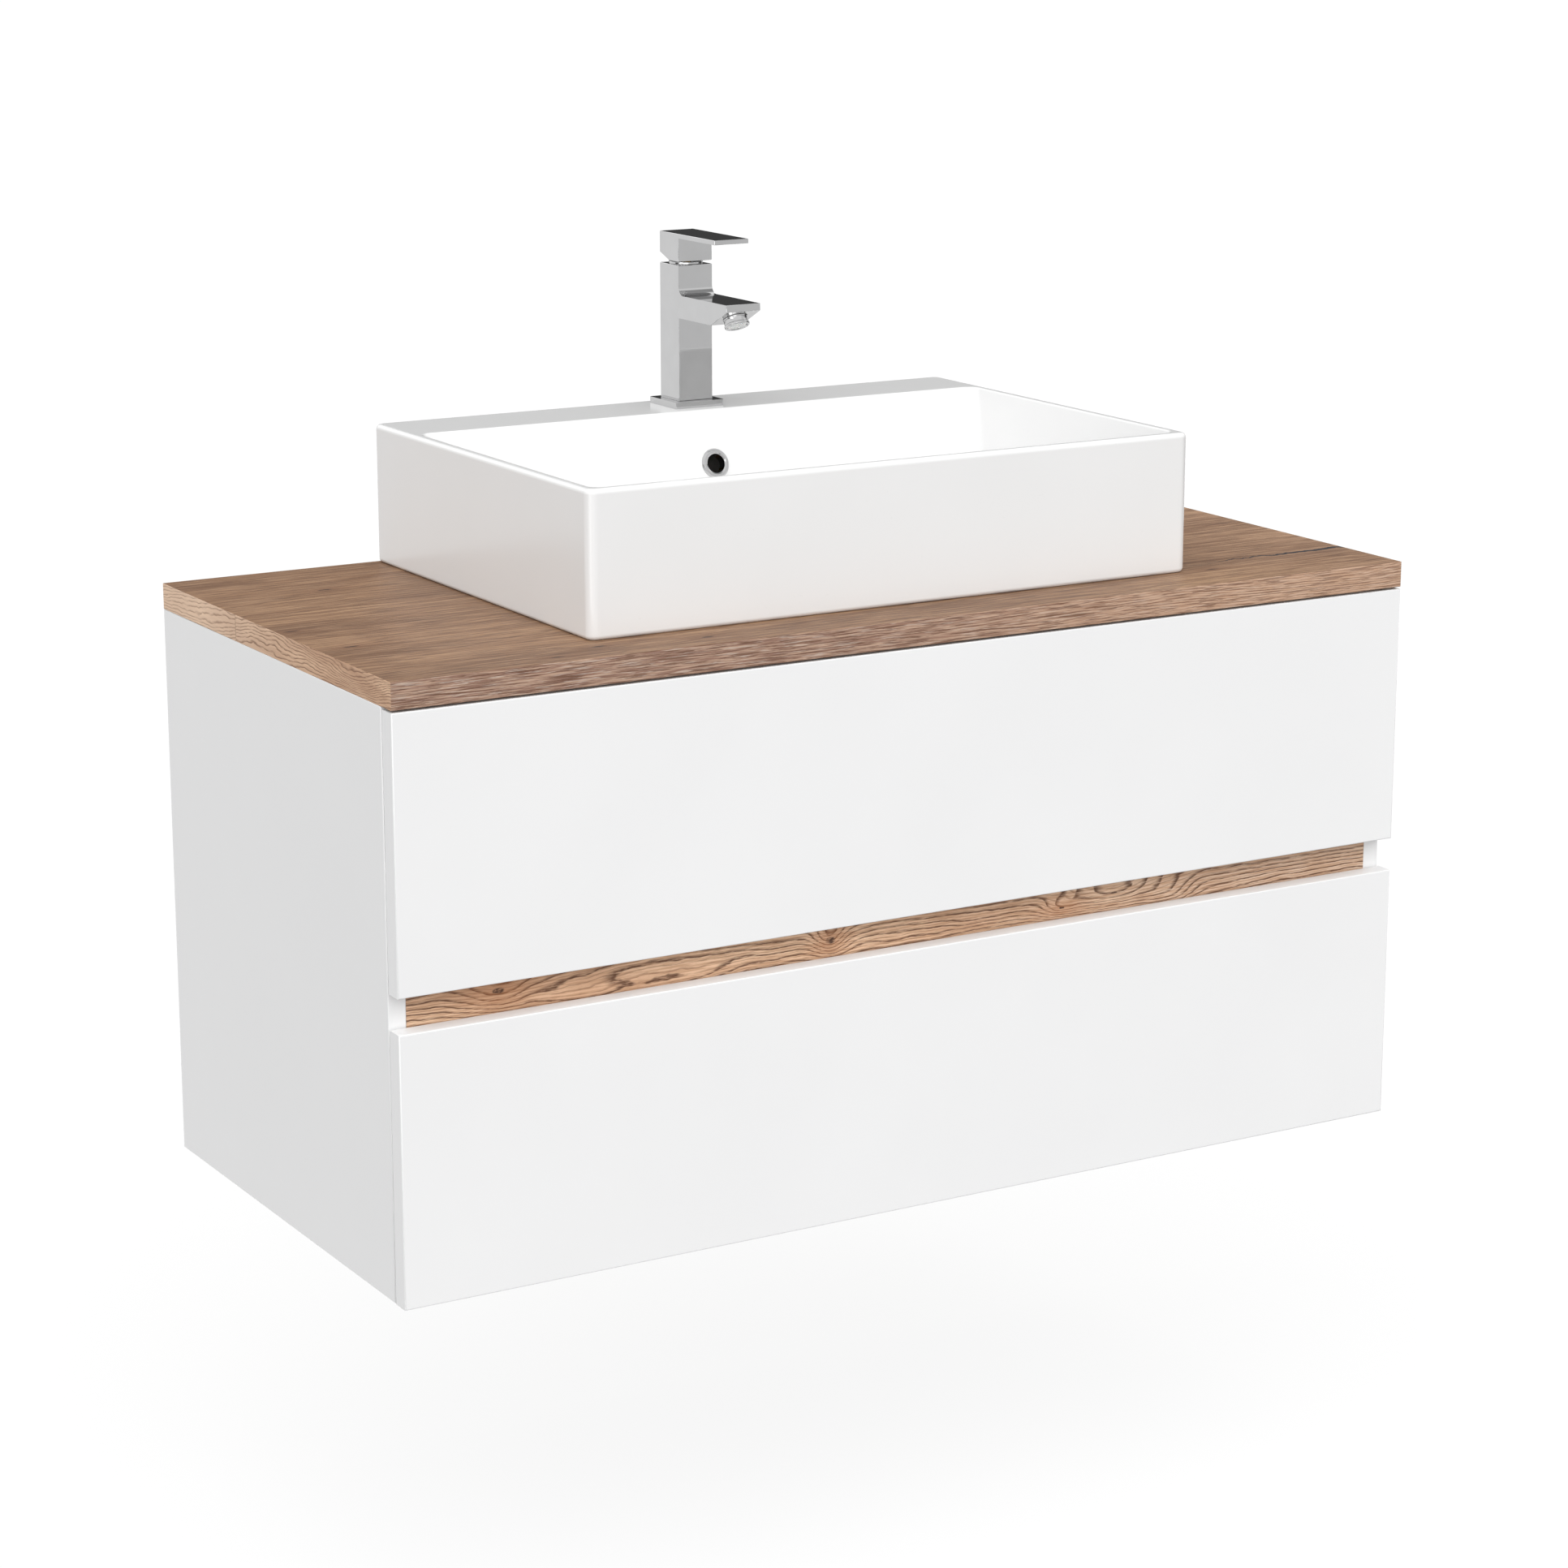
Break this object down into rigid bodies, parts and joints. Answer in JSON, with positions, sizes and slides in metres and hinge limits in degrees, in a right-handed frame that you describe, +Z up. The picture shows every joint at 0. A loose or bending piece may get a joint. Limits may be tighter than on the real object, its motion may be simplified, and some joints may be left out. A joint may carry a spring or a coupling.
{
  "type": "vessel sink on vanity",
  "caption": "Wall-hung bathroom vanity with drawers behind white fronts, an oak worktop, a rectangular vessel basin and a square single-lever mixer.",
  "frame": {"origin": "on the wall plane, midway between the two wall screws that the cabinet hangs on", "axes": "+X to the right as seen from the front, +Y into the wall, +Z up; the fronts face -Y"},
  "size_m": [1, 0.5, 0.8037],
  "materials": {
    "oak_worktop": "medium brown oak, matt oiled",
    "oak_strip": "light knotty oak, matt oiled",
    "white_lacquer": "white lacquered board, matt",
    "drawer_board": "white melamine board",
    "glazed_white": "white glaze, glossy",
    "chrome_plate": "polished chrome",
    "zinc_steel": "zinc plated",
    "bare_brass": "machined brass",
    "white_plastic": "moulded plastic, matt",
    "grey_rubber": "soft rubber"
  },
  "bodies": {
    "cabinet": {"side_panel_left": "white_lacquer", "side_panel_right": "white_lacquer", "bottom_panel": "white_lacquer", "front_rail": "drawer_board", "back_rail_top": "drawer_board", "back_rail_bottom": "drawer_board", "grip_strip": "oak_strip", "worktop": "oak_worktop", "panel_fasteners": "zinc_steel", "cabinet_screws": "zinc_steel", "front_bumpers": "white_plastic", "hanger_housings": "white_plastic", "hanger_hooks": "zinc_steel", "wall_plates": "zinc_steel", "basin": "glazed_white", "overflow_ring": "chrome_plate", "waste_body": "chrome_plate", "waste_gasket": "grey_rubber", "waste_locknut": "chrome_plate", "trap_inlet_tube": "chrome_plate", "trap_bottle": "chrome_plate", "trap_cup": "chrome_plate", "trap_nuts": "chrome_plate", "trap_outlet_pipe": "chrome_plate", "wall_rosette": "chrome_plate", "tap_base_plate": "chrome_plate", "tap_body": "chrome_plate", "tap_collar": "chrome_plate", "tap_cartridge": "white_plastic", "aerator_shell": "chrome_plate", "aerator_insert": "white_plastic", "tap_stud": "bare_brass", "tap_washer": "bare_brass", "tap_nut": "bare_brass", "runner_cabinet_members": "zinc_steel"},
    "plug": {"waste_plug": "chrome_plate"},
    "tap_swivel": {"tap_rotor": "white_plastic", "tap_stem_pin": "zinc_steel"},
    "tap_handle": {"tap_stem": "bare_brass", "tap_lever": "chrome_plate", "tap_lever_screw": "zinc_steel"},
    "upper_drawer": {"upper_front": "white_lacquer", "upper_sides": "drawer_board", "upper_bottom": "drawer_board", "upper_backs": "drawer_board", "trap_guard": "drawer_board", "upper_fasteners": "zinc_steel", "upper_runner_inners": "zinc_steel"},
    "upper_middles": {"upper_runner_middles": "zinc_steel"},
    "upper_outer_cages": {"upper_ball_cages_outer": "zinc_steel"},
    "upper_inner_cages": {"upper_ball_cages_inner": "zinc_steel"},
    "lower_drawer": {"lower_front": "white_lacquer", "lower_sides": "drawer_board", "lower_bottom": "drawer_board", "lower_back": "drawer_board", "lower_fasteners": "zinc_steel", "lower_runner_inners": "zinc_steel"},
    "lower_middles": {"lower_runner_middles": "zinc_steel"},
    "lower_outer_cages": {"lower_ball_cages_outer": "zinc_steel"},
    "lower_inner_cages": {"lower_ball_cages_inner": "zinc_steel"}
  },
  "joints": [
    {"name": "plug_press", "type": "slide", "parent": "cabinet", "child": "plug", "axis": [0, 0, -1], "range_m": [0, 0.008], "stiffness_N_per_m": 600, "springref_m": -0.005},
    {"name": "lever_swing", "type": "hinge", "parent": "cabinet", "child": "tap_swivel", "pos_m": [0.004, -0.039, 0.325], "axis": [0, 0, 1], "range_deg": [-45, 45]},
    {"name": "lever_lift", "type": "hinge", "parent": "tap_swivel", "child": "tap_handle", "pos_m": [0.004, -0.039, 0.325], "axis": [-1, 0, 0], "range_deg": [0, 20]},
    {"name": "upper_drawer_slide", "type": "slide", "parent": "cabinet", "child": "upper_drawer", "axis": [0, -1, 0], "range_m": [0, 0.35]},
    {"name": "upper_middles_slide", "type": "slide", "parent": "cabinet", "child": "upper_middles", "axis": [0, -1, 0], "range_m": [0, 0.175]},
    {"name": "upper_outer_cages_slide", "type": "slide", "parent": "cabinet", "child": "upper_outer_cages", "axis": [0, -1, 0], "range_m": [0, 0.0875]},
    {"name": "upper_inner_cages_slide", "type": "slide", "parent": "cabinet", "child": "upper_inner_cages", "axis": [0, -1, 0], "range_m": [0, 0.2625]},
    {"name": "lower_drawer_slide", "type": "slide", "parent": "cabinet", "child": "lower_drawer", "axis": [0, -1, 0], "range_m": [0, 0.35]},
    {"name": "lower_middles_slide", "type": "slide", "parent": "cabinet", "child": "lower_middles", "axis": [0, -1, 0], "range_m": [0, 0.175]},
    {"name": "lower_outer_cages_slide", "type": "slide", "parent": "cabinet", "child": "lower_outer_cages", "axis": [0, -1, 0], "range_m": [0, 0.0875]},
    {"name": "lower_inner_cages_slide", "type": "slide", "parent": "cabinet", "child": "lower_inner_cages", "axis": [0, -1, 0], "range_m": [0, 0.2625]}
  ],
  "couplings": [
    {"joint": "upper_middles_slide", "follows": "upper_drawer_slide", "ratio": 0.5},
    {"joint": "upper_outer_cages_slide", "follows": "upper_drawer_slide", "ratio": 0.25},
    {"joint": "upper_inner_cages_slide", "follows": "upper_drawer_slide", "ratio": 0.75},
    {"joint": "lower_middles_slide", "follows": "lower_drawer_slide", "ratio": 0.5},
    {"joint": "lower_outer_cages_slide", "follows": "lower_drawer_slide", "ratio": 0.25},
    {"joint": "lower_inner_cages_slide", "follows": "lower_drawer_slide", "ratio": 0.75}
  ]
}
